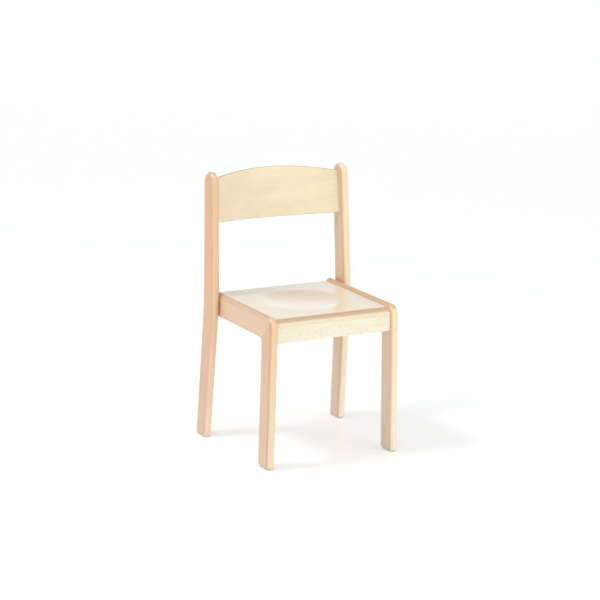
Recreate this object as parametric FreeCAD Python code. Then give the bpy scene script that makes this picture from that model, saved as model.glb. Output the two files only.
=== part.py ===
"""Small nursery chair: beech frame, plywood seat and curved plywood backrest.

Millimetres. +Z is up, the sitter faces -Y, and +X is the right-hand side seen from the front.
The origin is on the floor under the middle of the chair's outline.
Each side frame is modelled upright and then splayed outwards about the crest of its side rail.
"""

import FreeCAD, Part
import math
import os

# Overall layout
CREST_Z = 315.5          # top of the side rails
SEAT_Z = 310.0           # sitting surface
RAIL_OUTER_X = 148.3     # outer face of a side rail, at its crest
SPLAY_DEG = 1.08         # outward lean of each side frame, going down
FRONT_Y = -156.0         # foremost face of the front legs
BACK_Y = 156.0           # rearmost point: the top edge of the backrest, in the middle

# Frame boards
BOARD = 18.7             # thickness of every frame board
BULLNOSE = 9.3           # edge radius that rounds a board almost fully
SOFT_EDGE = 4.0          # edge radius on the inner run of a side frame
EASED = 1.5              # lightly sanded arris
LEG_DEPTH = 43.3         # front leg, front to back
SIDE_RAIL_H = 48.4
SIDE_RAIL_END_Y = 132.0
KNEE_R = 22.0            # outer corner where front leg and side rail meet
CROTCH_R = 9.0           # inner corner of the same joint
RAIL_TAIL_R = 12.0       # rear top corner of the side rail
FOOT_Z = 4.0             # where the wood stops and the glide begins
FOOT_CHAMFER = 1.0

# Rear leg: one board bent gently at seat height
POST_TOP_Z = 570.2
BEND_Z = 297.0
BEND_R = 600.0           # centreline radius of the bend
POST_FOOT_Y = 122.5      # middle of the post at the floor, ...
POST_BEND_Y = 98.4       # ... at the bend, where its straight halves would meet, ...
POST_TOP_Y = 113.5       # ... and at the top
POST_FOOT_DEPTH = 44.9   # front to back, in the same three places
POST_BEND_DEPTH = 49.2
POST_TOP_DEPTH = 43.0

# Seat and cross rails
SEAT_T = 15.3
SEAT_FRONT_Y = -147.8
SEAT_REAR_Y = 124.3
SEAT_NOSE_R = 15.0       # quarter-round along the front edge
DISH_Y = -8.3            # centre of the shallow round dish
DISH_R = 92.0
DISH_DEPTH = 5.5
DISH_RIM_R = 120.0       # profile radius that eases the dish into the flat
CROSS_RAIL_H = 33.2
REAR_RAIL_Y = 119.3      # rear face of the rear cross rail

# Backrest
BACK_T = 8.5
BACK_R = 332.0           # plan radius of its front face
BACK_LOW_Z = 459.8       # lower edge of its front face
BACK_END_H = 90.6        # height where it meets the posts
BACK_RISE = 16.7         # how far the arched top rises above its ends
BACK_LEAN_DEG = 7.5
BACK_HOUSING = 6.0       # depth of the slot in each post

# Dowels and screws
DOWEL_R = 4.0
GLUE_GAP = 0.05          # radial film of glue round a dowel
END_GAP = 1.0            # spare depth at the end of a dowel hole
DOWEL_EASE = 0.8         # chamfer at each end of a dowel
RAIL_DOWEL_IN_SIDE = 12.0
RAIL_DOWEL_IN_RAIL = 17.0
REAR_DOWEL_LIFT = 2.0    # keeps the rear rail's dowels clear of the side rail's underside
LEG_DOWEL_HALF = 11.0
MITRE_DOWEL_HALF = 11.0
MITRE_DOWEL_OFFSET = 10.0
SCREW_R = 2.0
SCREW_HEAD_R = 4.0
SCREW_HEAD_H = 2.6
SCREW_TIP = 4.0          # length of the pointed end
POINT_R = 0.3            # blunt radius at the very tip of a screw or nail
SCREW_CLEARANCE = 0.3
DRIVE_W = 1.1            # cross recess in a screw head
DRIVE_L = 4.4
DRIVE_DEPTH = 1.6

# Corner blocks under the seat
BLOCK_LEG = 38.0
BLOCK_H = 26.0
BLOCK_TRUNCATION = 5.0   # flat left at each sharp tip
BLOCK_SCREW_AT = 22.0    # from the corner, along each rail
BLOCK_SCREW_L = 30.0
BLOCK_SCREW_BITE = 15.0  # wood left between screw head and rail
BLOCK_SCREW_DROP = 6.5   # above and below the block's mid-height
SEAT_SCREW_AT = 11.0     # from the corner, along both rails
SEAT_SCREW_L = 28.0
SEAT_SCREW_BORE = 6.0    # counterbore depth under the head

# Floor glides
GLIDE_INSET = 1.5
GLIDE_EDGE = 1.0
NAIL_R = 1.2
NAIL_L = 22.0
NAIL_HEAD_R = 3.0
NAIL_HEAD_H = 1.0
NAIL_LIFT = 0.6          # nail head held clear of the floor
NAIL_RECESS_R = 3.6

# Derived places
SEAT_UNDER_Z = SEAT_Z - SEAT_T
CROSS_RAIL_Z = SEAT_UNDER_Z - CROSS_RAIL_H
LEG_BACK_Y = FRONT_Y + LEG_DEPTH
RAIL_LOW_Z = CREST_Z - SIDE_RAIL_H
SPLAY = math.radians(SPLAY_DEG)
BACK_LEAN = math.radians(BACK_LEAN_DEG)
BACK_REACH = ((BACK_T - EASED) * math.cos(BACK_LEAN) + EASED
              + (BACK_END_H + BACK_RISE - EASED) * math.sin(BACK_LEAN))
BACK_MID_Y = BACK_Y - BACK_REACH     # front face in the middle, at the lower edge
FAR = 400.0              # larger than any piece, for trimming blocks
TOL = 0.01               # how closely a point must lie on a face to be taken as on it

V = FreeCAD.Vector
X_AXIS, Y_AXIS, Z_AXIS = V(1, 0, 0), V(0, 1, 0), V(0, 0, 1)


# ---------------------------------------------------------------- helpers

def yz(y, z):
    return V(0, y, z)


def prism_x(outline, x_low, x_high):
    """Solid of an outline drawn in the plane x = 0, from x_low to x_high."""
    face = Part.Face(Part.Wire(outline))
    face.translate(V(x_low, 0, 0))
    return face.extrude(V(x_high - x_low, 0, 0))


def prism(corners, extrusion):
    """Solid of a flat polygon, extruded by a vector."""
    return Part.Face(Part.makePolygon(corners + corners[:1])).extrude(extrusion)


def line(a, b):
    return Part.LineSegment(a, b).toShape()


def arc(centre, radius, start_deg, end_deg):
    """Arc in the YZ plane; angles turn from +Y towards +Z."""
    mid_deg = (start_deg + end_deg) / 2

    def at(angle):
        t = math.radians(angle)
        return V(0, centre.y + radius * math.cos(t), centre.z + radius * math.sin(t))

    return Part.Arc(at(start_deg), at(mid_deg), at(end_deg)).toShape()


def cylinder(start, direction, length, radius):
    return Part.makeCylinder(radius, length, start, direction)


def splayed(shape):
    """Leans an upright right-hand piece outwards, about the crest of the side rail."""
    out = shape.copy()
    out.rotate(V(RAIL_OUTER_X, 0, CREST_Z), Y_AXIS, -SPLAY_DEG)
    return out


def mirrored(shape):
    return shape.mirror(V(0, 0, 0), X_AXIS)


def side_plane_x(z, offset):
    """x at height z of the plane that lies offset outside the side rail's outer face."""
    return RAIL_OUTER_X + offset / math.cos(SPLAY) - (z - CREST_Z) * math.tan(SPLAY)


def between_sides(offset):
    """Block that fills the room between the two splayed side planes."""
    low, high = 0.0, 2 * CREST_Z
    corners = [V(-side_plane_x(low, offset), -FAR, low), V(side_plane_x(low, offset), -FAR, low),
               V(side_plane_x(high, offset), -FAR, high), V(-side_plane_x(high, offset), -FAR, high)]
    return prism(corners, V(0, 2 * FAR, 0))


def edges_where(shape, test):
    """Edges whose every sample point passes the test."""
    return [e for e in shape.Edges if all(test(p) for p in e.discretize(5))]


def edges_along_x(shape, y, z):
    return edges_where(shape, lambda p: abs(p.y - y) < TOL and abs(p.z - z) < TOL)


def trimmed_at_foot(leg):
    """Cuts a splayed leg level with the top of its glide and eases the cut's arris."""
    floor_block = Part.makeBox(2 * FAR, 2 * FAR, FAR, V(-FAR, -FAR, FOOT_Z - FAR))
    leg = leg.cut(floor_block)
    rim = edges_where(leg, lambda p: abs(p.z - FOOT_Z) < TOL)
    return leg.makeChamfer(FOOT_CHAMFER, rim)


# ---------------------------------------------------------------- fasteners

def dowel(start, direction, length):
    """Dowel pin with eased ends."""
    pin = cylinder(start, direction, length, DOWEL_R)
    rims = [e for e in pin.Edges if isinstance(e.Curve, Part.Circle)]
    return pin.makeChamfer(DOWEL_EASE, rims)


def dowel_hole(start, direction, length):
    shift = V(direction).normalize() * END_GAP
    return cylinder(start - shift, direction, length + 2 * END_GAP, DOWEL_R + GLUE_GAP)


def screw(head, direction, length):
    """Countersunk wood screw: its flat head face is at head, and it points along direction."""
    aim = V(direction).normalize()
    shank = length - SCREW_HEAD_H - SCREW_TIP
    body = Part.makeCone(SCREW_HEAD_R, SCREW_R, SCREW_HEAD_H, head, aim)
    body = body.fuse(cylinder(head + aim * SCREW_HEAD_H, aim, shank, SCREW_R))
    tip = head + aim * (SCREW_HEAD_H + shank)
    body = body.fuse(Part.makeCone(SCREW_R, POINT_R, SCREW_TIP, tip, aim))
    side = aim.cross(Z_AXIS if abs(aim.z) < 0.5 else X_AXIS).normalize()
    for along in (side, aim.cross(side)):
        across = aim.cross(along)
        corner = head - along * (DRIVE_L / 2) - across * (DRIVE_W / 2)
        points = [corner, corner + along * DRIVE_L,
                  corner + along * DRIVE_L + across * DRIVE_W, corner + across * DRIVE_W]
        body = body.cut(prism(points, aim * DRIVE_DEPTH))
    return body.removeSplitter()


def screw_hole(head, direction, length, bore, clearance_to):
    """Counterbore behind the head, a clearance hole for clearance_to, then a snug pilot."""
    aim = V(direction).normalize()
    hole = cylinder(head - aim * bore, aim, bore, SCREW_HEAD_R + SCREW_CLEARANCE)
    hole = hole.fuse(Part.makeCone(SCREW_HEAD_R, SCREW_R, SCREW_HEAD_H, head, aim))
    hole = hole.fuse(cylinder(head, aim, clearance_to, SCREW_R + SCREW_CLEARANCE))
    shank_end = length - SCREW_TIP
    hole = hole.fuse(cylinder(head, aim, shank_end, SCREW_R))
    return hole.fuse(Part.makeCone(SCREW_R, POINT_R, SCREW_TIP, head + aim * shank_end, aim))


def cross_rail_dowel_axes(y, low_z):
    """Start, direction and length of the two dowels in one end of a cross rail.

    They share the height between low_z and the seat.
    """
    x = RAIL_OUTER_X - BOARD - RAIL_DOWEL_IN_RAIL
    length = RAIL_DOWEL_IN_RAIL + RAIL_DOWEL_IN_SIDE
    quarter = (SEAT_UNDER_Z - low_z) / 4
    return [(V(x, y, low_z + share * quarter), X_AXIS, length) for share in (1, 3)]


def front_rail_dowel_axes():
    return cross_rail_dowel_axes(SEAT_FRONT_Y + BOARD / 2, CROSS_RAIL_Z)


def rear_rail_dowel_axes():
    return cross_rail_dowel_axes(REAR_RAIL_Y - BOARD / 2, RAIL_LOW_Z + REAR_DOWEL_LIFT)


def mitre_dowel_axes():
    """Dowels square to the mitre, either side of its middle."""
    outer, inner = yz(FRONT_Y, CREST_Z), yz(LEG_BACK_Y, RAIL_LOW_Z)
    along = (inner - outer).normalize()
    square = V(0, -along.z, along.y)
    middle = (outer + inner) * 0.5 + V(RAIL_OUTER_X - BOARD / 2, 0, 0)
    starts = [middle + along * (side * MITRE_DOWEL_OFFSET) - square * MITRE_DOWEL_HALF
              for side in (-1, 1)]
    return [(start, square, 2 * MITRE_DOWEL_HALF) for start in starts]


def rear_leg_dowel_axes():
    """Three dowels through the face where a rear leg is glued to its side rail."""
    x = RAIL_OUTER_X - LEG_DOWEL_HALF
    low, high = RAIL_LOW_Z + SIDE_RAIL_H / 4, CREST_Z - SIDE_RAIL_H / 4
    fore, aft = POST_BEND_Y - POST_BEND_DEPTH / 4, POST_BEND_Y + POST_BEND_DEPTH / 4
    places = ((fore, low), (fore, high), (aft, high))
    return [(V(x, y, z), X_AXIS, 2 * LEG_DOWEL_HALF) for y, z in places]


def dowels(axes):
    """Right-hand dowels as one group of separate solids."""
    return splayed(Part.makeCompound([dowel(*axis) for axis in axes]))


def bored(shape, axes):
    """Bores dowel holes into an upright right-hand piece."""
    for axis in axes:
        shape = shape.cut(dowel_hole(*axis))
    return shape


# ---------------------------------------------------------------- side frame

def side_frame_blank():
    """Front leg and side rail as one rounded L, before the mitre divides it."""
    foot = -BOARD
    edges = [
        line(yz(FRONT_Y, foot), yz(FRONT_Y, CREST_Z - KNEE_R)),
        arc(yz(FRONT_Y + KNEE_R, CREST_Z - KNEE_R), KNEE_R, 180, 90),
        line(yz(FRONT_Y + KNEE_R, CREST_Z), yz(SIDE_RAIL_END_Y - RAIL_TAIL_R, CREST_Z)),
        arc(yz(SIDE_RAIL_END_Y - RAIL_TAIL_R, CREST_Z - RAIL_TAIL_R), RAIL_TAIL_R, 90, 0),
        line(yz(SIDE_RAIL_END_Y, CREST_Z - RAIL_TAIL_R), yz(SIDE_RAIL_END_Y, RAIL_LOW_Z)),
        line(yz(SIDE_RAIL_END_Y, RAIL_LOW_Z), yz(LEG_BACK_Y + CROTCH_R, RAIL_LOW_Z)),
        arc(yz(LEG_BACK_Y + CROTCH_R, RAIL_LOW_Z - CROTCH_R), CROTCH_R, 90, 180),
        line(yz(LEG_BACK_Y, RAIL_LOW_Z - CROTCH_R), yz(LEG_BACK_Y, foot)),
        line(yz(LEG_BACK_Y, foot), yz(FRONT_Y, foot)),
    ]
    blank = prism_x(edges, RAIL_OUTER_X - BOARD, RAIL_OUTER_X)
    return soften_inner_run(round_outer_run(blank, foot), foot)


def round_outer_run(blank, foot):
    """Bullnoses the front of the leg, the knee, the top of the rail and its rear end."""
    def outer(p):
        on_side = abs(p.x - RAIL_OUTER_X) < TOL or abs(p.x - RAIL_OUTER_X + BOARD) < TOL
        inner_run = p.z < RAIL_LOW_Z + TOL and p.y > LEG_BACK_Y - TOL
        return on_side and p.z > foot - TOL and not inner_run

    def keep(edge):
        points = edge.discretize(5)
        return all(outer(p) for p in points[1:-1]) and points[2].z > foot + TOL

    return blank.makeFillet(BULLNOSE, [e for e in blank.Edges if keep(e)])


def soften_inner_run(blank, foot):
    """Rounds both arrises of the rail's underside and of the back of the leg."""
    inset = BULLNOSE + TOL

    def on_inner_outline(p):
        under_rail = abs(p.z - RAIL_LOW_Z) < TOL and p.y > LEG_BACK_Y + CROTCH_R - TOL
        behind_leg = abs(p.y - LEG_BACK_Y) < TOL and p.z < RAIL_LOW_Z - CROTCH_R + TOL
        reach = math.hypot(p.y - LEG_BACK_Y - CROTCH_R, p.z - RAIL_LOW_Z + CROTCH_R)
        crotch = abs(reach - CROTCH_R) < TOL and p.y < LEG_BACK_Y + inset
        return under_rail or behind_leg or crotch

    def keep(edge):
        points = edge.discretize(5)
        crosses = abs(points[0].x - points[-1].x) > BOARD / 2 and points[2].y < SIDE_RAIL_END_Y - inset
        return all(on_inner_outline(p) for p in points) and not crosses and points[2].z > foot + TOL

    return blank.makeFillet(SOFT_EDGE, [e for e in blank.Edges if keep(e)])


def mitre_block():
    """Block on the rail's side of the mitre plane."""
    outer, inner = yz(FRONT_Y, CREST_Z), yz(LEG_BACK_Y, RAIL_LOW_Z)
    along = (inner - outer).normalize()
    square = V(0, -along.z, along.y)
    start, end = outer - along * FAR, outer + along * FAR
    corners = [start, end, end + square * FAR, start + square * FAR]
    block = prism(corners, V(FAR, 0, 0))
    block.translate(V(RAIL_OUTER_X - FAR / 2, 0, 0))
    return block


def front_leg(blank):
    leg = blank.cut(mitre_block())
    leg = bored(leg, front_rail_dowel_axes() + mitre_dowel_axes())
    return trimmed_at_foot(splayed(leg))


def side_rail(blank):
    rail = blank.common(mitre_block())
    rail = bored(rail, rear_rail_dowel_axes() + mitre_dowel_axes() + rear_leg_dowel_axes())
    return splayed(rail)


# ---------------------------------------------------------------- rear leg

def post_edge(side):
    """Front (side -1) or rear (+1) edge of the post: its three corners, drawn before rounding."""
    return [yz(POST_FOOT_Y + side * POST_FOOT_DEPTH / 2, 0),
            yz(POST_BEND_Y + side * POST_BEND_DEPTH / 2, BEND_Z),
            yz(POST_TOP_Y + side * POST_TOP_DEPTH / 2, POST_TOP_Z)]


def slope(low, high):
    """Change of y per unit of height."""
    return (high.y - low.y) / (high.z - low.z)


def at_height(low, high, z):
    return yz(low.y + slope(low, high) * (z - low.z), z)


def bend_arc(foot, bend, top, radius):
    """Arc that rounds one corner of the post's outline, from its lower to its upper end."""
    up, down = (top - bend).normalize(), (foot - bend).normalize()
    half_turn = (math.pi - up.getAngle(down)) / 2
    reach = radius * math.tan(half_turn)
    rearward = (up + down).normalize()
    middle = bend + rearward * (radius / math.cos(half_turn) - radius)
    return Part.Arc(bend + down * reach, middle, bend + up * reach)


def rear_leg_blank():
    """Bent, slightly tapered post with a round top, bullnosed all round."""
    front, rear = post_edge(-1), post_edge(1)
    front_bend = bend_arc(*front, BEND_R + POST_BEND_DEPTH / 2)
    rear_bend = bend_arc(*rear, BEND_R - POST_BEND_DEPTH / 2)

    front_slope, rear_slope = slope(*front[1:]), slope(*rear[1:])
    front_len, rear_len = math.hypot(1, front_slope), math.hypot(1, rear_slope)
    crown_r = POST_TOP_DEPTH / (front_len + rear_len - front_slope + rear_slope)
    crown = at_height(*front[1:], POST_TOP_Z - crown_r) + Y_AXIS * (crown_r * front_len)
    crown_front = crown + V(0, -1, front_slope) * (crown_r / front_len)
    crown_rear = crown + V(0, 1, -rear_slope) * (crown_r / rear_len)

    sole_front, sole_rear = (at_height(*edge[:2], -BOARD) for edge in (front, rear))
    edges = [
        line(sole_front, front_bend.StartPoint),
        front_bend.toShape(),
        line(front_bend.EndPoint, crown_front),
        Part.Arc(crown_front, crown + Z_AXIS * crown_r, crown_rear).toShape(),
        line(crown_rear, rear_bend.EndPoint),
        rear_bend.toShape(),
        line(rear_bend.StartPoint, sole_rear),
        line(sole_rear, sole_front),
    ]
    blank = prism_x(edges, RAIL_OUTER_X, RAIL_OUTER_X + BOARD)
    arrises = [e for e in blank.Edges
               if e.discretize(3)[1].z > -BOARD / 2
               and abs(e.Vertexes[0].X - e.Vertexes[-1].X) < TOL]
    return blank.makeFillet(BULLNOSE, arrises)


def rear_leg(panel):
    leg = splayed(bored(rear_leg_blank(), rear_leg_dowel_axes()))
    return trimmed_at_foot(leg).cut(panel)


# ---------------------------------------------------------------- seat, rails and back

def dish_tool():
    """Body of revolution that hollows the seat: a shallow arc eased into the flat by a second arc."""
    slope = 2 * math.atan(DISH_DEPTH / DISH_R)
    bowl_r = DISH_R / math.sin(slope) - DISH_RIM_R

    def bowl(angle):
        return V(bowl_r * math.sin(angle), 0, SEAT_Z - DISH_DEPTH + bowl_r * (1 - math.cos(angle)))

    def rim(angle):
        return V(DISH_R - DISH_RIM_R * math.sin(angle), 0, SEAT_Z - DISH_RIM_R * (1 - math.cos(angle)))

    top = SEAT_Z + DISH_DEPTH
    edges = [
        Part.Arc(bowl(0), bowl(slope / 2), bowl(slope)).toShape(),
        Part.Arc(rim(slope), rim(slope / 2), rim(0)).toShape(),
        line(rim(0), V(DISH_R, 0, top)),
        line(V(DISH_R, 0, top), V(0, 0, top)),
        line(V(0, 0, top), bowl(0)),
    ]
    profile = Part.Face(Part.Wire(edges))
    tool = profile.revolve(V(0, 0, 0), Z_AXIS, 360)
    tool.translate(V(0, DISH_Y, 0))
    return tool


def seat_panel():
    depth = SEAT_REAR_Y - SEAT_FRONT_Y
    blank = Part.makeBox(2 * FAR, depth, SEAT_T, V(-FAR, SEAT_FRONT_Y, SEAT_UNDER_Z))
    blank = blank.makeFillet(SEAT_NOSE_R, edges_along_x(blank, SEAT_FRONT_Y, SEAT_Z))
    rear_arrises = [e for z in (SEAT_Z, SEAT_UNDER_Z) for e in edges_along_x(blank, SEAT_REAR_Y, z)]
    blank = blank.makeFillet(EASED, rear_arrises)
    return blank.common(between_sides(-BOARD)).cut(dish_tool())


def cross_rail(rear_y):
    rail = Part.makeBox(2 * FAR, BOARD, CROSS_RAIL_H, V(-FAR, rear_y - BOARD, CROSS_RAIL_Z))
    low_arrises = [e for y in (rear_y, rear_y - BOARD) for e in edges_along_x(rail, y, CROSS_RAIL_Z)]
    return rail.makeFillet(EASED, low_arrises).common(between_sides(-BOARD))


def doweled_cross_rail(rear_y, axes):
    rail = cross_rail(rear_y)
    for start, direction, length in axes:
        hole = splayed(dowel_hole(start, direction, length))
        rail = rail.cut(hole).cut(mirrored(hole))
    return rail


def back_panel():
    """Moulded plywood panel: bowed in plan, arched along the top, leaning back, ends in the posts."""
    end_x = side_plane_x(BACK_LOW_Z, 0)
    crown_z = BACK_END_H + BACK_RISE
    crown_r = (end_x ** 2 + BACK_RISE ** 2) / (2 * BACK_RISE)
    sweep = 2 * math.degrees(math.asin((end_x + BACK_HOUSING) / BACK_R))
    origin = V(0, 0, 0)
    shell = Part.makeCylinder(BACK_R + BACK_T, 2 * crown_z, origin, Z_AXIS, sweep)
    shell = shell.cut(Part.makeCylinder(BACK_R, 2 * crown_z, origin, Z_AXIS))
    shell.rotate(origin, Z_AXIS, 90 - sweep / 2)
    shell.translate(V(0, -BACK_R, 0))
    panel = shell.common(cylinder(V(0, -FAR, crown_z - crown_r), Y_AXIS, 2 * FAR, crown_r))
    panel = panel.makeFillet(EASED, long_edges(panel))
    panel.rotate(origin, X_AXIS, -BACK_LEAN_DEG)
    panel.translate(V(0, BACK_MID_Y, BACK_LOW_Z))
    return panel


def long_edges(panel):
    """The four arrises that run along the bottom and the arched top."""
    return [e for e in panel.Edges if e.Length > RAIL_OUTER_X]


# ---------------------------------------------------------------- corner blocks and screws

def block_corner(front):
    """Inner corner of the frame, right-hand side: its y, and the direction towards the middle."""
    if front:
        return SEAT_FRONT_Y + BOARD, 1
    return REAR_RAIL_Y - BOARD, -1


def block_screw_axes(front):
    """Head position, direction and length of the two screws that hold a block to its rails."""
    y, inward = block_corner(front)
    middle_z = SEAT_UNDER_Z - BLOCK_H / 2
    x = side_plane_x(middle_z, -BOARD)
    into_cross = V(x - BLOCK_SCREW_AT, y + inward * BLOCK_SCREW_BITE, middle_z - BLOCK_SCREW_DROP)
    into_side = V(x - BLOCK_SCREW_BITE, y + inward * BLOCK_SCREW_AT, middle_z + BLOCK_SCREW_DROP)
    return [(into_cross, V(0, -inward, 0), BLOCK_SCREW_L), (into_side, X_AXIS, BLOCK_SCREW_L)]


def seat_screw_axis(front):
    y, inward = block_corner(front)
    low = SEAT_UNDER_Z - BLOCK_H
    x = side_plane_x(low, -BOARD) - SEAT_SCREW_AT
    return V(x, y + inward * SEAT_SCREW_AT, low + SEAT_SCREW_BORE), Z_AXIS, SEAT_SCREW_L


def corner_block(front):
    """Triangular block with blunt tips, glued and screwed into one corner under the seat."""
    y, inward = block_corner(front)
    low = SEAT_UNDER_Z - BLOCK_H
    x = side_plane_x(low, -BOARD)
    plan = [(0, 0), (BLOCK_LEG, 0), (BLOCK_LEG, BLOCK_TRUNCATION),
            (BLOCK_TRUNCATION, BLOCK_LEG), (0, BLOCK_LEG)]
    points = [V(x - a, y + inward * b, low) for a, b in plan]
    block = prism(points, V(0, 0, BLOCK_H)).common(between_sides(-BOARD))
    for axis in block_screw_axes(front):
        block = block.cut(screw_hole(*axis, BLOCK_LEG, BLOCK_SCREW_BITE))
    start, direction, length = seat_screw_axis(front)
    return block.cut(screw_hole(start, direction, length, SEAT_SCREW_BORE, BLOCK_H - SEAT_SCREW_BORE))


def screw_pilots(shape, axes):
    """Cuts right-hand screws, and their mirror images, out of the piece that they bite into."""
    for axis in axes:
        thread = screw(*axis)
        shape = shape.cut(thread).cut(mirrored(thread))
    return shape


def both_sides(shapes):
    return Part.makeCompound(shapes + [mirrored(s) for s in shapes])


# ---------------------------------------------------------------- glides

def foot_centre(rear):
    """Middle of the right-hand front or rear foot at the cut, and half its size in x and y."""
    half_x = BOARD / 2 / math.cos(SPLAY)
    if not rear:
        return V(side_plane_x(FOOT_Z, -BOARD / 2), FRONT_Y + LEG_DEPTH / 2, 0), half_x, LEG_DEPTH / 2
    front_y, rear_y = (at_height(*post_edge(side)[:2], FOOT_Z).y for side in (-1, 1))
    return V(side_plane_x(FOOT_Z, BOARD / 2), (front_y + rear_y) / 2, 0), half_x, (rear_y - front_y) / 2


def glide(rear):
    """Plastic pad under one foot, with a recess for its nail."""
    centre, half_x, half_y = foot_centre(rear)
    half_x -= GLIDE_INSET
    half_y -= GLIDE_INSET
    pad = Part.makeBox(2 * half_x, 2 * half_y, FOOT_Z, centre - V(half_x, half_y, 0))
    corners = [e for e in pad.Edges if abs(e.Vertexes[0].Z - e.Vertexes[-1].Z) > TOL]
    pad = pad.makeFillet(half_x - 2 * TOL, corners)
    pad = pad.makeFillet(GLIDE_EDGE, edges_where(pad, lambda p: p.z < TOL))
    recess = Part.makeCylinder(NAIL_RECESS_R, NAIL_LIFT + NAIL_HEAD_H, centre)
    return pad.cut(recess).cut(Part.makeCylinder(NAIL_R, FOOT_Z, centre))


def glide_nail(rear):
    centre, _, _ = foot_centre(rear)
    base = centre + V(0, 0, NAIL_LIFT)
    head = Part.makeCylinder(NAIL_HEAD_R, NAIL_HEAD_H, base)
    point_z = NAIL_HEAD_H + NAIL_L
    shank = Part.makeCylinder(NAIL_R, NAIL_L, base + V(0, 0, NAIL_HEAD_H))
    point = Part.makeCone(NAIL_R, POINT_R, 2 * NAIL_R, base + V(0, 0, point_z))
    return head.fuse([shank, point]).removeSplitter()


# ---------------------------------------------------------------- assembly

def build():
    blank = side_frame_blank()
    panel = back_panel()
    front_screws, rear_screws = block_screw_axes(True), block_screw_axes(False)
    seat_screws = [seat_screw_axis(True), seat_screw_axis(False)]
    into_front, front_side = front_screws
    into_rear, rear_side = rear_screws

    handed = {
        "front_leg": front_leg(blank).cut(glide_nail(False)),
        "side_rail": screw_pilots(side_rail(blank), [front_side, rear_side]),
        "rear_leg": rear_leg(panel).cut(glide_nail(True)),
        "front_glide": glide(False),
        "rear_glide": glide(True),
        "front_corner_block": corner_block(True),
        "rear_corner_block": corner_block(False),
        "front_rail_dowels": dowels(front_rail_dowel_axes()),
        "rear_rail_dowels": dowels(rear_rail_dowel_axes()),
        "mitre_dowels": dowels(mitre_dowel_axes()),
        "rear_leg_dowels": dowels(rear_leg_dowel_axes()),
    }
    nodes = {}
    for name, shape in handed.items():
        nodes["right_" + name] = shape
        nodes["left_" + name] = mirrored(shape)

    nodes["front_rail"] = screw_pilots(
        doweled_cross_rail(SEAT_FRONT_Y + BOARD, front_rail_dowel_axes()), [into_front])
    nodes["rear_rail"] = screw_pilots(
        doweled_cross_rail(REAR_RAIL_Y, rear_rail_dowel_axes()), [into_rear])
    nodes["seat_panel"] = screw_pilots(seat_panel(), seat_screws)
    nodes["back_panel"] = panel
    nodes["corner_block_screws"] = both_sides([screw(*axis) for axis in front_screws + rear_screws])
    nodes["seat_screws"] = both_sides([screw(*axis) for axis in seat_screws])
    nodes["glide_nails"] = both_sides([glide_nail(False), glide_nail(True)])
    return nodes


def main():
    os.makedirs("parts", exist_ok=True)
    for name, shape in build().items():
        shape.exportStep(f"parts/{name}.step")
        print(name, "solids", len(shape.Solids), "valid", shape.isValid(), "mm3", round(shape.Volume))


main()
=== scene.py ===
"""Looks of the nursery chair: beech frame, plywood seat and curved plywood backrest.

Metres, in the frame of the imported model: +Z up, front towards -Y, origin on the floor.
Right-hand pieces are modelled upright, then splayed outwards about the crest of the side rail.
"""

import math

import bmesh
import bpy
from mathutils import Matrix, Vector


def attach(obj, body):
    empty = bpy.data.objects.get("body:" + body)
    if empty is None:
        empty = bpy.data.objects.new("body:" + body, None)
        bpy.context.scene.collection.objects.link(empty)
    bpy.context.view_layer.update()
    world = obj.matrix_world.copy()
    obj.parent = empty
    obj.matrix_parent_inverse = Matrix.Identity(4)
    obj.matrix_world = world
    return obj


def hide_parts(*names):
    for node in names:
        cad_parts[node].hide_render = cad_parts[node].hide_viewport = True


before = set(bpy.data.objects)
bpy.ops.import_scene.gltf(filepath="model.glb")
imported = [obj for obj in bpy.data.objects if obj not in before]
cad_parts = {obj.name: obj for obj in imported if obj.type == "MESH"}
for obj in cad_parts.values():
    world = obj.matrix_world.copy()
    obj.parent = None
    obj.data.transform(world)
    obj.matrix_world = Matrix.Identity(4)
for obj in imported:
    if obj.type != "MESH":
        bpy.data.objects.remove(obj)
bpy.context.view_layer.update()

MM = 0.001

# Frame boards
BOARD = 18.7 * MM          # thickness of every frame board
BULLNOSE = 9.3 * MM        # rounding of the outer edges, nearly half a board
SOFT_EDGE = 4.0 * MM       # rounding along the inner run of a side frame
EASED = 1.5 * MM           # rounding of cross rails, seat and backrest
SEAM = 0.3 * MM            # sanded arris at a glued joint
SPLAY = math.radians(1.08)      # how far each side frame leans outwards, going down
RAIL_OUTER_X = 148.3 * MM  # outer face of a side rail at its crest
CREST_Z = 315.5 * MM       # top of the side rails
FRONT_Y = -156.0 * MM      # front of the front legs
BACK_Y = 156.0 * MM        # rearmost point of the backrest
LEG_DEPTH = 43.3 * MM
SIDE_RAIL_H = 48.4 * MM
SIDE_RAIL_END_Y = 132.0 * MM
KNEE_R = 22.0 * MM         # outer corner between front leg and side rail
CROTCH_R = 9.0 * MM        # inner corner between front leg and side rail
FOOT_Z = 4.0 * MM          # the wood ends here, on top of the glides
FOOT_CHAMFER = 1.0 * MM

# Rear leg: (middle, depth) of the board at the floor, where it bends, and at its top
POST_FOOT = (122.5 * MM, 44.9 * MM)
POST_BEND = (98.4 * MM, 49.2 * MM)
POST_TOP = (113.5 * MM, 43.0 * MM)
POST_TOP_Z = 570.2 * MM
BEND_Z = 297.0 * MM
BEND_R = 600.0 * MM

# Seat and cross rails
SEAT_Z = 310.0 * MM        # top of the seat
SEAT_T = 15.3 * MM
SEAT_FRONT_Y = -147.8 * MM
SEAT_REAR_Y = 124.3 * MM
SEAT_NOSE_R = 15.0 * MM
DISH_Y = -8.3 * MM         # middle of the dish
DISH_R = 92.0 * MM
DISH_DEPTH = 5.5 * MM
DISH_RIM_R = 120.0 * MM    # easing between the dish and the flat
CROSS_RAIL_H = 33.2 * MM
REAR_RAIL_Y = 119.3 * MM   # rear face of the rear rail

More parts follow.
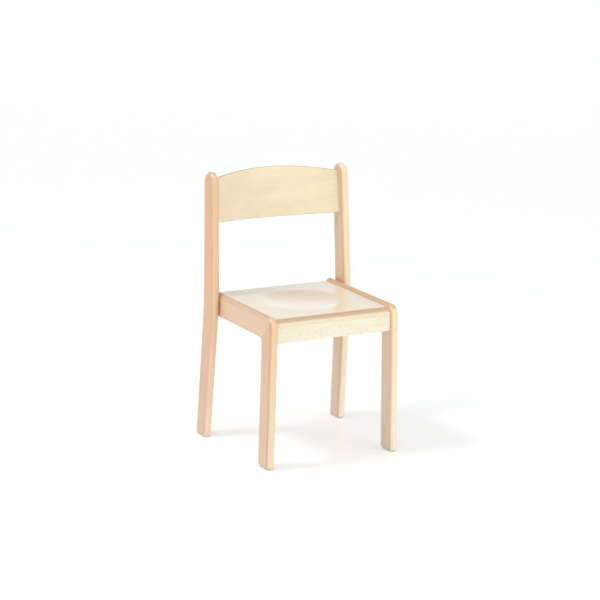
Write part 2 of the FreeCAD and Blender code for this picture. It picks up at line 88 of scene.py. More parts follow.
# Backrest
BACK_T = 8.5 * MM
BACK_R = 332.0 * MM        # bow in plan, on the front face
BACK_LOW_Z = 459.8 * MM
BACK_END_H = 90.6 * MM     # height of the panel at the posts
BACK_RISE = 16.7 * MM      # how much higher it is in the middle
BACK_LEAN = math.radians(7.5)
BACK_HOUSING = 5.0 * MM    # how far its ends reach into the posts

SEAT_PLY = SEAT_T / 11     # veneer thickness of the seat
BACK_PLY = BACK_T / 7      # veneer thickness of the backrest

# Mesh fineness
GRID = 2.2 * MM            # spacing on the seat and backrest
QUARTER_STEPS = 8          # round a board's edge
RUN_STEPS = 12             # along a straight stretch of an outline
TURN_STEPS = 10            # round a corner of an outline
CROWN_STEPS = 32           # round the top of a rear leg
CORNER_STEPS = 4           # round a corner of a section
RAIL_STEPS = 24            # along a cross rail
NOSE_STEPS = 24            # round the seat's front edge
SEAT_REAR_STEPS = 5        # round each of the seat's rear edges
WELD = 0.001 * MM          # points nearer than this become one
ON_PLANE = 0.0001 * MM     # points nearer than this to a cut lie on it
SHARP_ANGLE = math.radians(40)

# Derived places
LEG_BACK_Y = FRONT_Y + LEG_DEPTH
RAIL_LOW_Z = CREST_Z - SIDE_RAIL_H
SEAT_UNDER_Z = SEAT_Z - SEAT_T
# From the foot of the panel's front face to its rearmost point, measured in Y at its middle
BACK_REACH = ((BACK_T - EASED) * math.cos(BACK_LEAN) + EASED
              + (BACK_END_H + BACK_RISE - EASED) * math.sin(BACK_LEAN))
BACK_MID_Y = BACK_Y - BACK_REACH


# ---------------------------------------------------------------- outlines

def station(point, normal, radius):
    """One place on a board's outline in the YZ plane: where it is, its outward normal, its edge radius."""
    return Vector(point), Vector(normal).normalized(), radius


def run(start, end, radius, steps=RUN_STEPS):
    """Stations along a straight stretch whose outward side is on the left of travel."""
    a, b = Vector(start), Vector(end)
    along = (b - a).normalized()
    normal = Vector((-along.y, along.x))
    return [station(a.lerp(b, i / steps), normal, radius) for i in range(steps + 1)]


def turn(centre, r, start_deg, end_deg, radius, hollow=False, steps=TURN_STEPS):
    """Stations round an arc; a hollow arc has its centre outside the board."""
    out = []
    for i in range(steps + 1):
        t = math.radians(start_deg + (end_deg - start_deg) * i / steps)
        ray = Vector((math.cos(t), math.sin(t)))
        out.append(station(Vector(centre) + ray * r, -ray if hollow else ray, radius))
    return out


def edge_profile(radius):
    """(offset from the low face, inset from the outline, edge share) across a board's rounded edge."""
    quarter = []
    for i in range(QUARTER_STEPS + 1):
        t = math.pi / 2 * i / QUARTER_STEPS
        quarter.append((radius * (1 - math.cos(t)), radius * (1 - math.sin(t)), i / QUARTER_STEPS))
    middle = [(BOARD / 2, 0.0, 1.0)]
    return quarter + middle + [(BOARD - d, inset, share) for d, inset, share in reversed(quarter)]


# ---------------------------------------------------------------- mesh building

def new_bmesh():
    """Empty mesh whose points carry edge (0 on a face, 1 on a rounding) and depth below the top face."""
    bm = bmesh.new()
    bm.verts.layers.float.new("edge")
    bm.verts.layers.float.new("depth")
    return bm


def add_vert(bm, co, edge=0.0, depth=0.0):
    v = bm.verts.new(co)
    v[bm.verts.layers.float["edge"]] = edge
    v[bm.verts.layers.float["depth"]] = depth
    return v


def plate(stations, x_low, open_after=None):
    """Board between x_low and x_low + BOARD with rounded edges.

    No edge strip is made between station open_after and the next one.
    """
    bm = new_bmesh()
    rings = []
    for point, normal, radius in stations:
        ring = []
        for offset, inset, share in edge_profile(radius):
            p = point - normal * inset
            ring.append(add_vert(bm, (x_low + offset, p.x, p.y), share))
        rings.append(ring)
    count = len(rings)
    for i in range(count):
        if i == open_after:
            continue
        a, b = rings[i], rings[(i + 1) % count]
        for j in range(len(a) - 1):
            bm.faces.new((a[j], a[j + 1], b[j + 1], b[j]))
    bm.faces.new([ring[0] for ring in rings])
    bm.faces.new([ring[-1] for ring in reversed(rings)])
    return bm


def add_round_tail(bm, x_low, y, crest, low):
    """Half-turn end of a rail: its section at y, revolved about its upright middle line.

    crest and low each hold the height of one edge of the rail and that edge's radius.
    """
    middle = x_low + BOARD / 2
    (crest_z, crest_r), (low_z, low_r) = crest, low
    upper = [(offset - BOARD / 2, crest_z - inset, share) for offset, inset, share in edge_profile(crest_r)]
    lower = [(offset - BOARD / 2, low_z + inset, share) for offset, inset, share in edge_profile(low_r)]
    half = len(upper) // 2
    profile = upper[half:] + lower[:half - 1:-1]
    steps = 2 * QUARTER_STEPS
    rings = []
    for i in range(steps + 1):
        t = math.pi * i / steps
        across, out = math.cos(t), math.sin(t)
        rings.append([add_vert(bm, (middle + reach * across, y + reach * out, z), max(share, out))
                      for reach, z, share in profile])
    for a, b in zip(rings, rings[1:]):
        for j in range(len(profile) - 1):
            bm.faces.new((a[j], b[j], b[j + 1], a[j + 1]))


def weld(bm):
    bmesh.ops.remove_doubles(bm, verts=bm.verts, dist=WELD)
    bmesh.ops.dissolve_degenerate(bm, edges=bm.edges, dist=WELD)
    bmesh.ops.recalc_face_normals(bm, faces=bm.faces)


def cut_away(bm, point, direction, chamfer):
    """Removes what lies beyond the plane along direction, and closes the cut with a chamfered rim."""
    direction = Vector(direction).normalized()
    rim_at = Vector(point) - direction * chamfer
    made = bmesh.ops.bisect_plane(bm, geom=bm.verts[:] + bm.edges[:] + bm.faces[:], dist=ON_PLANE,
                                  plane_co=rim_at, plane_no=direction, clear_outer=True)
    rim = [g for g in made["geom_cut"] if isinstance(g, bmesh.types.BMEdge)]
    cap = bmesh.ops.edgeloop_fill(bm, edges=rim)["faces"]
    bmesh.ops.recalc_face_normals(bm, faces=bm.faces)
    bmesh.ops.inset_region(bm, faces=cap, thickness=chamfer, use_even_offset=True)
    for v in {v for face in cap for v in face.verts}:
        v.co += direction * chamfer


def loft(loops, attributes):
    """Closed skin through equal loops of points, with a cap at each end.

    attributes holds one (edge, depth) pair per point of a loop.
    """
    bm = new_bmesh()
    rings = [[add_vert(bm, p, *attributes[i]) for i, p in enumerate(loop)] for loop in loops]
    count = len(loops[0])
    for a, b in zip(rings, rings[1:]):
        for j in range(count):
            k = (j + 1) % count
            bm.faces.new((a[j], a[k], b[k], b[j]))
    bm.faces.new(rings[0])
    bm.faces.new(rings[-1][::-1])
    bmesh.ops.recalc_face_normals(bm, faces=bm.faces)
    return bm


def splay(bm):
    """Leans an upright right-hand piece outwards about the outer edge of the rail's crest."""
    pivot = Vector((RAIL_OUTER_X, 0, CREST_Z))
    turned = Matrix.Translation(pivot) @ Matrix.Rotation(-SPLAY, 4, "Y") @ Matrix.Translation(-pivot)
    bmesh.ops.transform(bm, matrix=turned, verts=bm.verts)


def mirror(bm):
    """Turns a right-hand piece into a left-hand one."""
    bmesh.ops.scale(bm, vec=(-1, 1, 1), verts=bm.verts)
    bmesh.ops.reverse_faces(bm, faces=bm.faces)


def side_plane_x(z, offset):
    """x at height z of the plane that lies offset outside the side rail's outer face."""
    return RAIL_OUTER_X + offset / math.cos(SPLAY) - (z - CREST_Z) * math.tan(SPLAY)


def add_to_scene(name, data):
    made = bpy.data.objects.new(name, data)
    bpy.context.scene.collection.objects.link(made)
    return made


def finish_piece(bm, name, material, node):
    """Turns a bmesh into a smooth-shaded piece on the root body, in place of a CAD node."""
    mesh = bpy.data.meshes.new(name)
    bm.to_mesh(mesh)
    bm.free()
    mesh.polygons.foreach_set("use_smooth", [True] * len(mesh.polygons))
    mesh.set_sharp_from_angle(angle=SHARP_ANGLE)
    mesh.materials.append(material)
    piece = add_to_scene(name, mesh)
    weighted = piece.modifiers.new("weighted_normals", "WEIGHTED_NORMAL")
    weighted.keep_sharp = True
    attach(piece, "root")
    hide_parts(node)


# ---------------------------------------------------------------- frame pieces

def side_frame():
    """Upright right-hand front leg and side rail in one, before the mitre divides them."""
    below = -BOARD             # the foot is cut at the floor after the splay
    tail_y = SIDE_RAIL_END_Y - BOARD / 2
    outer = run((FRONT_Y, below), (FRONT_Y, CREST_Z - KNEE_R), BULLNOSE)
    outer += turn((FRONT_Y + KNEE_R, CREST_Z - KNEE_R), KNEE_R, 180, 90, BULLNOSE)[1:]
    outer += run((FRONT_Y + KNEE_R, CREST_Z), (tail_y, CREST_Z), BULLNOSE)[1:]
    inner = run((tail_y, RAIL_LOW_Z), (LEG_BACK_Y + CROTCH_R, RAIL_LOW_Z), SOFT_EDGE)
    crotch = (LEG_BACK_Y + CROTCH_R, RAIL_LOW_Z - CROTCH_R)
    inner += turn(crotch, CROTCH_R, 90, 180, SOFT_EDGE, hollow=True)[1:]
    inner += run((LEG_BACK_Y, RAIL_LOW_Z - CROTCH_R), (LEG_BACK_Y, below), SOFT_EDGE)[1:]
    x_low = RAIL_OUTER_X - BOARD
    bm = plate(outer + inner, x_low, open_after=len(outer) - 1)
    add_round_tail(bm, x_low, tail_y, (CREST_Z, BULLNOSE), (RAIL_LOW_Z, SOFT_EDGE))
    weld(bm)
    return bm


def mitre_plane():
    """A point on the mitre and the normal that points to the rail's side."""
    outer, inner = Vector((0, FRONT_Y, CREST_Z)), Vector((0, LEG_BACK_Y, RAIL_LOW_Z))
    along = (inner - outer).normalized()
    return outer, Vector((0, -along.z, along.y))


def front_leg():
    """Right-hand front leg: the side frame below its mitre, cut level at the foot."""
    bm = side_frame()
    point, to_rail = mitre_plane()
    cut_away(bm, point, to_rail, SEAM)
    splay(bm)
    cut_away(bm, (0, 0, FOOT_Z), (0, 0, -1), FOOT_CHAMFER)
    return bm


def side_rail():
    """Right-hand side rail: the side frame behind its mitre."""
    bm = side_frame()
    point, to_rail = mitre_plane()
    cut_away(bm, point, -to_rail, SEAM)
    splay(bm)
    return bm


def post_edge(side):
    """Front (side -1) or rear (+1) edge of the post: its foot, bend and top corners before rounding."""
    heights = (0.0, BEND_Z, POST_TOP_Z)
    return [Vector((middle + side * depth / 2, z))
            for (middle, depth), z in zip((POST_FOOT, POST_BEND, POST_TOP), heights)]


def lean_of(low, high):
    """Backward lean of an edge, as an angle from upright."""
    return math.atan((high.x - low.x) / (high.y - low.y))


def at_height(low, high, z):
    """Point at height z on the straight line through two points."""
    return low.lerp(high, (z - low.y) / (high.y - low.y))


def bend_points(foot, bend, top, r):
    """Centre of the arc that rounds one corner of the post, and the arc's lower and upper ends."""
    down, up = (foot - bend).normalized(), (top - bend).normalized()
    half_turn = (lean_of(bend, top) - lean_of(foot, bend)) / 2
    inward = (up + down).normalized()
    reach = r * math.tan(half_turn)
    return bend + inward * (r / math.cos(half_turn)), bend + down * reach, bend + up * reach


def crown_circle(front, front_lean, rear_lean):
    """Centre and radius of the circle that touches both edges of the post and the level of its top."""
    widen = 1 / math.cos(front_lean) + 1 / math.cos(rear_lean) - math.tan(front_lean) + math.tan(rear_lean)
    r = POST_TOP[1] / widen
    return at_height(*front[1:], POST_TOP_Z - r) + Vector((r / math.cos(front_lean), 0)), r


def rear_leg():
    """Right-hand rear leg: a bent, slightly tapered post with a round top, cut level at the foot."""
    front, rear = post_edge(-1), post_edge(1)
    front_r, rear_r = BEND_R + POST_BEND[1] / 2, BEND_R - POST_BEND[1] / 2
    front_centre, front_low, front_high = bend_points(*front, front_r)
    rear_centre, rear_low, rear_high = bend_points(*rear, rear_r)
    front_leans = [lean_of(a, b) for a, b in zip(front, front[1:])]
    rear_leans = [lean_of(a, b) for a, b in zip(rear, rear[1:])]
    crown, crown_r = crown_circle(front, front_leans[1], rear_leans[1])
    crown_front = crown + Vector((-math.cos(front_leans[1]), math.sin(front_leans[1]))) * crown_r
    crown_rear = crown + Vector((math.cos(rear_leans[1]), -math.sin(rear_leans[1]))) * crown_r

    front_low_deg, front_high_deg = (180 - math.degrees(lean) for lean in front_leans)
    rear_low_deg, rear_high_deg = (180 - math.degrees(lean) for lean in rear_leans)
    stations = run(at_height(*front[:2], -BOARD), front_low, BULLNOSE)
    stations += turn(front_centre, front_r, front_low_deg, front_high_deg, BULLNOSE)[1:]
    stations += run(front_high, crown_front, BULLNOSE)[1:]
    stations += turn(crown, crown_r, front_high_deg, rear_high_deg - 180, BULLNOSE, steps=CROWN_STEPS)[1:]
    stations += run(crown_rear, rear_high, BULLNOSE)[1:]
    stations += turn(rear_centre, rear_r, rear_high_deg, rear_low_deg, BULLNOSE, hollow=True)[1:]
    stations += run(rear_low, at_height(*rear[:2], -BOARD), BULLNOSE)[1:]
    bm = plate(stations, RAIL_OUTER_X)
    weld(bm)
    splay(bm)
    cut_away(bm, (0, 0, FOOT_Z), (0, 0, -1), FOOT_CHAMFER)
    return bm


def rounded_section(y_low, y_high, z_low, z_high, low_r, high_r):
    """Closed section in YZ with its lower and upper corners rounded by different radii."""
    corners = [(y_low + low_r, z_low + low_r, low_r, 180), (y_high - low_r, z_low + low_r, low_r, 270),
               (y_high - high_r, z_high - high_r, high_r, 0), (y_low + high_r, z_high - high_r, high_r, 90)]
    points = []
    for y, z, r, start in corners:
        for i in range(CORNER_STEPS + 1):
            t = math.radians(start + 90 * i / CORNER_STEPS)
            points.append((y + r * math.cos(t), z + r * math.sin(t)))
    return points


def cross_rail(rear_y):
    """Rail under the seat with its rear face at rear_y, its ends cut to the splay of the side rails."""
    section = rounded_section(rear_y - BOARD, rear_y, SEAT_UNDER_Z - CROSS_RAIL_H, SEAT_UNDER_Z, EASED, SEAM)
    loops = []
    for i in range(RAIL_STEPS + 1):
        share = -1 + 2 * i / RAIL_STEPS
        loops.append([(share * side_plane_x(z, -BOARD), y, z) for y, z in section])
    return loft(loops, [(0.0, 0.0)] * len(section))


# ---------------------------------------------------------------- seat and back

def dish_depth(x, y):
    """How far the seat is hollowed at a place: a shallow arc eased into the flat by a second arc."""
    reach = math.hypot(x, y - DISH_Y)
    if reach >= DISH_R:
        return 0.0
    slope = 2 * math.atan(DISH_DEPTH / DISH_R)
    bowl_r = DISH_R / math.sin(slope) - DISH_RIM_R
    if reach <= bowl_r * math.sin(slope):
        return DISH_DEPTH - bowl_r + math.sqrt(bowl_r ** 2 - reach ** 2)
    return DISH_RIM_R - math.sqrt(DISH_RIM_R ** 2 - (DISH_R - reach) ** 2)


def seat_section():
    """Points (y, z, depth below the top veneer) round the seat's long section."""
    points = [(SEAT_FRONT_Y + SEAM, SEAT_UNDER_Z, SEAT_T)]
    for i in range(NOSE_STEPS + 1):
        t = math.pi / 2 * i / NOSE_STEPS
        z = SEAT_Z - SEAT_NOSE_R * (1 - math.sin(t))
        points.append((SEAT_FRONT_Y + SEAT_NOSE_R * (1 - math.cos(t)), z, SEAT_Z - z))
    flat_start, flat_end = SEAT_FRONT_Y + SEAT_NOSE_R, SEAT_REAR_Y - EASED
    count = round((flat_end - flat_start) / GRID)
    points += [(flat_start + (flat_end - flat_start) * i / count, SEAT_Z, 0.0) for i in range(1, count + 1)]
    for centre_z, start in ((SEAT_Z - EASED, 90), (SEAT_UNDER_Z + EASED, 0)):
        for i in range(1, SEAT_REAR_STEPS + 1):
            t = math.radians(start - 90 * i / SEAT_REAR_STEPS)
            z = centre_z + EASED * math.sin(t)
            points.append((flat_end + EASED * math.cos(t), z, SEAT_Z - z))
    return points


def seat():
    """Seat panel with its dish, its sides cut to the splay of the side rails."""
    section = seat_section()
    count = round(2 * RAIL_OUTER_X / GRID)
    loops = []
    for i in range(count + 1):
        share = -1 + 2 * i / count
        loop = []
        for y, z, depth in section:
            x = share * side_plane_x(z, -BOARD)
            sunk = dish_depth(x, y) if depth == 0.0 else 0.0
            loop.append((x, y, z - sunk))
        loops.append(loop)
    return loft(loops, [(0.0, depth) for _, _, depth in section])


def back_panel():
    """Panel bowed in plan and arched along the top, leaning back, with its ends in the posts."""
    end_x = side_plane_x(BACK_LOW_Z, 0)
    crown_r = (end_x ** 2 + BACK_RISE ** 2) / (2 * BACK_RISE)
    reach = end_x + BACK_HOUSING
    count = round(2 * reach / GRID)
    lean = Matrix.Translation((0, BACK_MID_Y, BACK_LOW_Z)) @ Matrix.Rotation(-BACK_LEAN, 4, "X")
    loops = []
    for i in range(count + 1):
        x = -reach + 2 * reach * i / count
        top = BACK_END_H + BACK_RISE - crown_r + math.sqrt(crown_r ** 2 - x ** 2)
        angle = math.asin(x / BACK_R)
        loop = []
        for t, h in rounded_section(0, BACK_T, 0, top, EASED, EASED):
            r = BACK_R + t
            loop.append(lean @ Vector((r * math.sin(angle), r * math.cos(angle) - BACK_R, h)))
        loops.append(loop)
    section = rounded_section(0, BACK_T, 0, BACK_END_H, EASED, EASED)
    return loft(loops, [(0.0, t) for t, _ in section])


# ---------------------------------------------------------------- shader trees

# Parts of a noise's range that are stretched to the full range
WIDE = (0.2, 0.8)
MIDDLE = (0.3, 0.7)
NARROW = (0.35, 0.65)
RELIEF = 0.1 * MM          # depth of a surface's fine texture


class Tree:
    """Short calls that add nodes to a shader tree."""

    def __init__(self, tree):
        self.tree = tree

    def node(self, kind, **inputs):
        made = self.tree.nodes.new(kind)
        for name, value in inputs.items():
            self.set(made.inputs[name.replace("_", " ")], value)
        return made

    def set(self, socket, value):
        if isinstance(value, bpy.types.NodeSocket):
            self.tree.links.new(value, socket)
        else:
            socket.default_value = value

    def math(self, operation, a, b=0.0):
        made = self.tree.nodes.new("ShaderNodeMath")
        made.operation = operation
        self.set(made.inputs[0], a)
        self.set(made.inputs[1], b)
        return made.outputs[0]

    def weigh(self, *terms):
        """Sum of (weight, value) terms."""
        total = None
        for weight, value in terms:
            part = self.math("MULTIPLY", value, weight)
            total = part if total is None else self.math("ADD", total, part)
        return total

    def mix(self, share, a, b, blend="MIX"):
        made = self.tree.nodes.new("ShaderNodeMix")
        made.data_type = "RGBA"
        made.blend_type = blend
        for index, value in ((0, share), (6, a), (7, b)):
            self.set(made.inputs[index], value)
        return made.outputs[2]

    def tint(self, colour, by):
        """One colour multiplied by another."""
        return self.mix(1.0, colour, by, "MULTIPLY")

    def span(self, value, low, high, to_low=0.0, to_high=1.0):
        """Smooth step of a value from one range to another."""
        made = self.tree.nodes.new("ShaderNodeMapRange")
        made.interpolation_type = "SMOOTHSTEP"
        for index, v in enumerate((value, low, high, to_low, to_high)):
            self.set(made.inputs[index], v)
        return made.outputs[0]

    def attribute(self, name):
        made = self.tree.nodes.new("ShaderNodeAttribute")
        made.attribute_name = name
        return made.outputs["Fac"]

    def coordinates(self, kind="Object"):
        return self.tree.nodes.new("ShaderNodeTexCoord").outputs[kind]

    def mapped(self, vector, scale=(1, 1, 1), rotation=(0, 0, 0), location=(0, 0, 0)):
        made = self.node("ShaderNodeMapping", Vector=vector, Scale=scale, Rotation=rotation,
                         Location=location)
        return made.outputs[0]

    def noise(self, vector, scale=1.0, detail=2.0, roughness=0.5):
        made = self.node("ShaderNodeTexNoise", Vector=vector, Scale=scale, Detail=detail,
                         Roughness=roughness)
        return made.outputs[0]

    def grain_noise(self, space, along, across, detail=2.0, roughness=0.5):
        """Noise with its own number of cells per metre along the grain and across it."""
        stretched = self.mapped(space, scale=(along, across, across))
        return self.noise(stretched, detail=detail, roughness=roughness)

    def dot(self, a, b):
        made = self.tree.nodes.new("ShaderNodeVectorMath")
        made.operation = "DOT_PRODUCT"
        self.set(made.inputs[0], a)
        self.set(made.inputs[1], b)
        return made.outputs["Value"]


class Shader(Tree):
    """A material's node tree around one Principled BSDF."""

    def __init__(self, name):
        self.material = bpy.data.materials.new(name)
        self.material.use_nodes = True
        super().__init__(self.material.node_tree)
        self.bsdf = self.tree.nodes["Principled BSDF"]

    def put(self, **inputs):
        """Sets sockets of the BSDF, each to a constant or to a node's output."""
        for name, value in inputs.items():
            self.set(self.bsdf.inputs[name.replace("_", " ")], value)

    def texture(self, pattern, roughness, relief, strength):
        """Roughness that follows a pattern from one value to another, and fine relief."""
        bump = self.node("ShaderNodeBump", Height=relief, Strength=strength, Distance=RELIEF)
        self.put(Roughness=self.span(pattern, *WIDE, *roughness), Normal=bump.outputs[0])


# ---------------------------------------------------------------- wood

GRAIN_TURN = {"X": (0, 0, 0), "Y": (0, 0, -math.pi / 2), "Z": (0, math.pi / 2, 0)}
LOG_START = (0.0, 0.11, 0.07)      # where in the log the board of seed 0 comes from, in metres
LOG_STEP = (0.37, 0.013, 0.029)    # from one seed's board to the next

RING_SPACING = 3.2 * MM
RING_STRETCH = 0.07                # how slowly the rings change along the grain
RING_SCALE = 0.314                 # wave scale that puts one ring in a metre
FLECK_SIZE = 0.3                   # in cells
FLECK_OPACITY = 0.6
FIGURE_SLANT = 0.16                # radians by which a veneer's figure runs off the grain

# Shares of a board's rounding over which the face turns to its darker rim tone, which is painted shade, then
# to its rounded-edge tone, which is a painted highlight
SHADED_RIM_SPAN = (0.02, 0.25)
HIGHLIGHT_EDGE_SPAN = (0.25, 0.65)

# Painted light: beech is tinted cooler near the floor, standing in for the bluish fill off the floor, and
# warmer at the seat and above, standing in for the warm key lamp.
PAINTED_LIGHT_HEIGHTS = (0.0, 340 * MM)
PAINTED_FLOOR_FILL_TINT = (0.99, 1.0, 1.03, 1)

WHITE = (1, 1, 1, 1)
DARK_GRAIN = (1, 0.93, 0.86, 1)
DARK_FIGURE = (1, 0.985, 0.95, 1)
CROSS_VENEER = (0.88, 0.82, 0.76, 1)
PORE = (0.80, 0.72, 0.64, 1)

# The warm tint in each of these paints the warm lamp light on the beech from seat height up.
BEECH = {"fleck": (0.45, 0.27, 0.16, 1), "fleck_cell": (2.4 * MM, 8.0 * MM), "fleck_share": 0.3,
         "painted_key_warmth": (0.99, 0.92, 0.80, 1), "contrast": 0.08}
CREAM_BEECH = {"fleck": (0.57, 0.50, 0.39, 1), "fleck_cell": (4.2 * MM, 11.0 * MM), "fleck_share": 0.5,
               "painted_key_warmth": WHITE, "contrast": 0.04}

# Face tone, rounded-edge tone, and how dark the face turns beside the rounding. Face tones differ from board
# to board; the greyer faces of the right-hand boards are partly that and partly painted cooler light on
# their shaded side. The rounded-edge tone is mostly a painted highlight of the front light on the roundings,
# strongest on the right-hand boards, and the darkening beside the rounding is painted shade.
BOARD_TONES_AND_PAINTED_LIGHT = {
    "left_front_leg": ((0.745, 0.515, 0.34, 1), (0.89, 0.69, 0.48, 1), 0.86),
    "left_side_rail": ((0.79, 0.605, 0.47, 1), (0.84, 0.65, 0.50, 1), 0.95),
    "left_rear_leg": ((0.735, 0.475, 0.315, 1), (0.84, 0.63, 0.455, 1), 1.0),
    "right_front_leg": ((0.75, 0.57, 0.43, 1), (0.93, 0.82, 0.61, 1), 0.93),
    "right_side_rail": ((0.77, 0.57, 0.43, 1), (0.77, 0.56, 0.41, 1), 0.95),
    "right_rear_leg": ((0.73, 0.545, 0.40, 1), (0.97, 0.87, 0.68, 1), 0.93),
}
# Same columns, with a slight painted shade beside the rounding and a slightly lighter edge tone as a painted
# highlight.
INNER_TONES = ((0.80, 0.55, 0.34, 1), (0.82, 0.60, 0.40, 1), 0.95)
CREAM_TONES = ((0.91, 0.86, 0.69, 1), (0.91, 0.86, 0.69, 1), 1.0)

# skin is how deep the face veneer shows; the core's colour changes from high to low over core_span of depth.
# On the seat's rounded nose, the darker core near the top is partly the plies' own colour and partly painted
# shade on the upward-facing part of the rounding.
SEAT_PLYWOOD = {"face": (0.945, 0.82, 0.665, 1), "thickness": SEAT_T, "ply": SEAT_PLY, "skin": 0.6 * MM,
                "core_high": (0.66, 0.46, 0.27, 1), "core_low": (0.88, 0.77, 0.56, 1),
                "core_span": (4.5 * MM, 11.0 * MM), "contrast": 0.03, "gloss": 0.24}
BACK_PLYWOOD = {"face": (0.88, 0.755, 0.515, 1), "thickness": BACK_T, "ply": BACK_PLY, "skin": 0.45 * MM,
                "core_high": (0.42, 0.28, 0.15, 1), "core_low": (0.58, 0.41, 0.23, 1),
                "core_span": (1.5 * MM, 3.0 * MM), "contrast": 0.05, "gloss": 0.16}


def shade(colour, gain):
    """A constant colour made lighter or darker."""
    return tuple(gain * c for c in colour[:3]) + (1,)


def grain_space(shader, grain, seed):
    """Object coordinates turned so that X runs along the grain, and shifted to another part of the log."""
    turned = shader.mapped(shader.coordinates(), rotation=GRAIN_TURN[grain])
    return shader.mapped(turned, location=[start + seed * step for start, step in zip(LOG_START, LOG_STEP)])


def growth_rings(shader, space):
    """Soft year rings round a pith outside the board, drawn out along the grain."""
    wave = shader.node("ShaderNodeTexWave", Vector=shader.mapped(space, scale=(RING_STRETCH, 1, 1)),
                       Scale=RING_SCALE / RING_SPACING, Distortion=5.0, Detail=3.0)
    wave.wave_type = "RINGS"
    wave.rings_direction = "X"
    return wave.outputs["Fac"]


def flecks(shader, space, cell, share):
    """Short dark dashes along the grain in a share of the cells: 1 inside a fleck, 0 outside."""
    across, along = cell
    stretched = shader.mapped(space, scale=(1 / along, 1 / across, 1 / across))
    cells = shader.node("ShaderNodeTexVoronoi", Vector=stretched, Scale=1.0, Randomness=1.0)
    near = shader.span(cells.outputs["Distance"], FLECK_SIZE, FLECK_SIZE * 0.35)
    chosen = shader.span(cells.outputs["Color"], share, share - 0.05)
    return shader.math("MULTIPLY", near, chosen)


def board_colour(shader, tones, tone, contrast, painted_key_warmth):
    """A board's colour: its face tone, darkened beside the rounding as painted shade and turned to the
    rounding's tone as a painted highlight, darkened with the grain, and tinted with height as painted light,
    cooler at the floor and warmer from the seat up.
    """
    face, edge, rim = tones
    rounding = shader.attribute("edge")
    # Painted shade: the face darkens by the rim factor where the rounding starts. Painted highlight: the
    # rounding turns to the lighter edge tone.
    base = shader.mix(shader.span(rounding, *SHADED_RIM_SPAN), face, shade(face, rim))
    base = shader.mix(shader.span(rounding, *HIGHLIGHT_EDGE_SPAN), base, edge)
    light = shader.tint(base, shade(WHITE, 1 + contrast))
    dark = shader.tint(base, shade(DARK_GRAIN, 1 - contrast))
    # Painted light: a cool tint at the floor turning to a warm lamp tint from the seat up.
    place = shader.node("ShaderNodeSeparateXYZ", Vector=shader.coordinates())
    height = shader.span(place.outputs["Z"], *PAINTED_LIGHT_HEIGHTS)
    return shader.tint(shader.mix(tone, light, dark), shader.mix(height, PAINTED_FLOOR_FILL_TINT, painted_key_warmth))


def solid_wood(name, grain, seed, tones, fleck, fleck_cell, fleck_share, painted_key_warmth, contrast):
    """Lacquered solid beech: year rings, fine fibres, ray flecks and a slow drift of tone."""
    s = Shader(name)
    space = grain_space(s, grain, seed)
    ring = growth_rings(s, space)
    fibre = s.grain_noise(space, 9, 420, detail=4.0, roughness=0.6)
    fine = s.grain_noise(space, 40, 1500)
    drift = s.grain_noise(space, 4, 16)
    dash = flecks(s, space, fleck_cell, fleck_share)
    tone = s.weigh((0.3, ring), (0.4, s.span(fibre, *MIDDLE)), (0.3, s.span(drift, *MIDDLE)))
    colour = board_colour(s, tones, tone, contrast, painted_key_warmth)
    s.put(Base_Color=s.mix(s.math("MULTIPLY", dash, FLECK_OPACITY), colour, fleck),
          Coat_Weight=0.7, Coat_Roughness=0.1)
    s.texture(fibre, (0.38, 0.5), s.weigh((0.5, fibre), (0.3, fine), (-0.4, dash)), 0.25)
    return s.material


def plywood(name, grain, seed, face, thickness, ply, skin, core_high, core_low, core_span, contrast, gloss):
    """Lacquered plywood: a figured veneer on both faces, and stacked veneers on the edges between them."""
    s = Shader(name)
    space = grain_space(s, grain, seed)
    slant = s.mapped(space, rotation=(0, FIGURE_SLANT, FIGURE_SLANT))
    wander = s.grain_noise(slant, 7, 34, detail=3.0, roughness=0.55)
    streak = s.grain_noise(slant, 11, 150, detail=3.0, roughness=0.6)
    fibre = s.grain_noise(space, 14, 520, detail=4.0, roughness=0.6)
    mottle = s.grain_noise(space, 38, 60)
    tone = s.weigh((0.4, s.span(wander, *NARROW)), (0.25, s.span(streak, 0.35, 0.7)),
                   (0.15, s.span(fibre, *MIDDLE)), (0.2, s.span(mottle, *NARROW)))
    veneer = s.mix(tone, shade(face, 1 + contrast), s.tint(shade(face, 1 - contrast), DARK_FIGURE))

    depth = s.attribute("depth")
    layer = s.math("FRACT", s.math("DIVIDE", depth, 2 * ply))
    cross = s.math("MULTIPLY", s.span(layer, 0.45, 0.55), s.span(layer, 1.0, 0.9))
    pores = s.span(s.grain_noise(space, 260, 900), 0.5, 0.75)
    # Darker core just under the top veneer: plies' own colour, and on the seat's nose partly painted shade.
    core = s.mix(s.span(depth, *core_span), core_high, core_low)
    for share, strength, darker in ((cross, 0.5, CROSS_VENEER), (pores, 0.3, PORE)):
        core = s.mix(s.math("MULTIPLY", share, strength), core, darker, "MULTIPLY")
    buried = s.math("MINIMUM", depth, s.math("SUBTRACT", thickness, depth))
    colour = s.mix(s.span(buried, 0.3 * skin, skin), veneer, core)
    s.put(Base_Color=colour, Coat_Weight=0.9, Coat_Roughness=gloss)
    s.texture(fibre, (0.36, 0.46), s.weigh((0.5, fibre), (0.1, layer)), 0.2)
    return s.material


# ---------------------------------------------------------------- fittings

def moulded_plastic(name):
    """Greyish nylon with a soft mottle and a fine grit."""
    s = Shader(name)
    mottle = s.noise(s.coordinates(), scale=260.0, detail=3.0)
    grit = s.noise(s.coordinates(), scale=2600.0)
    s.put(Base_Color=s.mix(s.span(mottle, *MIDDLE), (0.56, 0.52, 0.45, 1), (0.66, 0.62, 0.55, 1)))
    s.texture(grit, (0.42, 0.6), grit, 0.3)
    return s.material


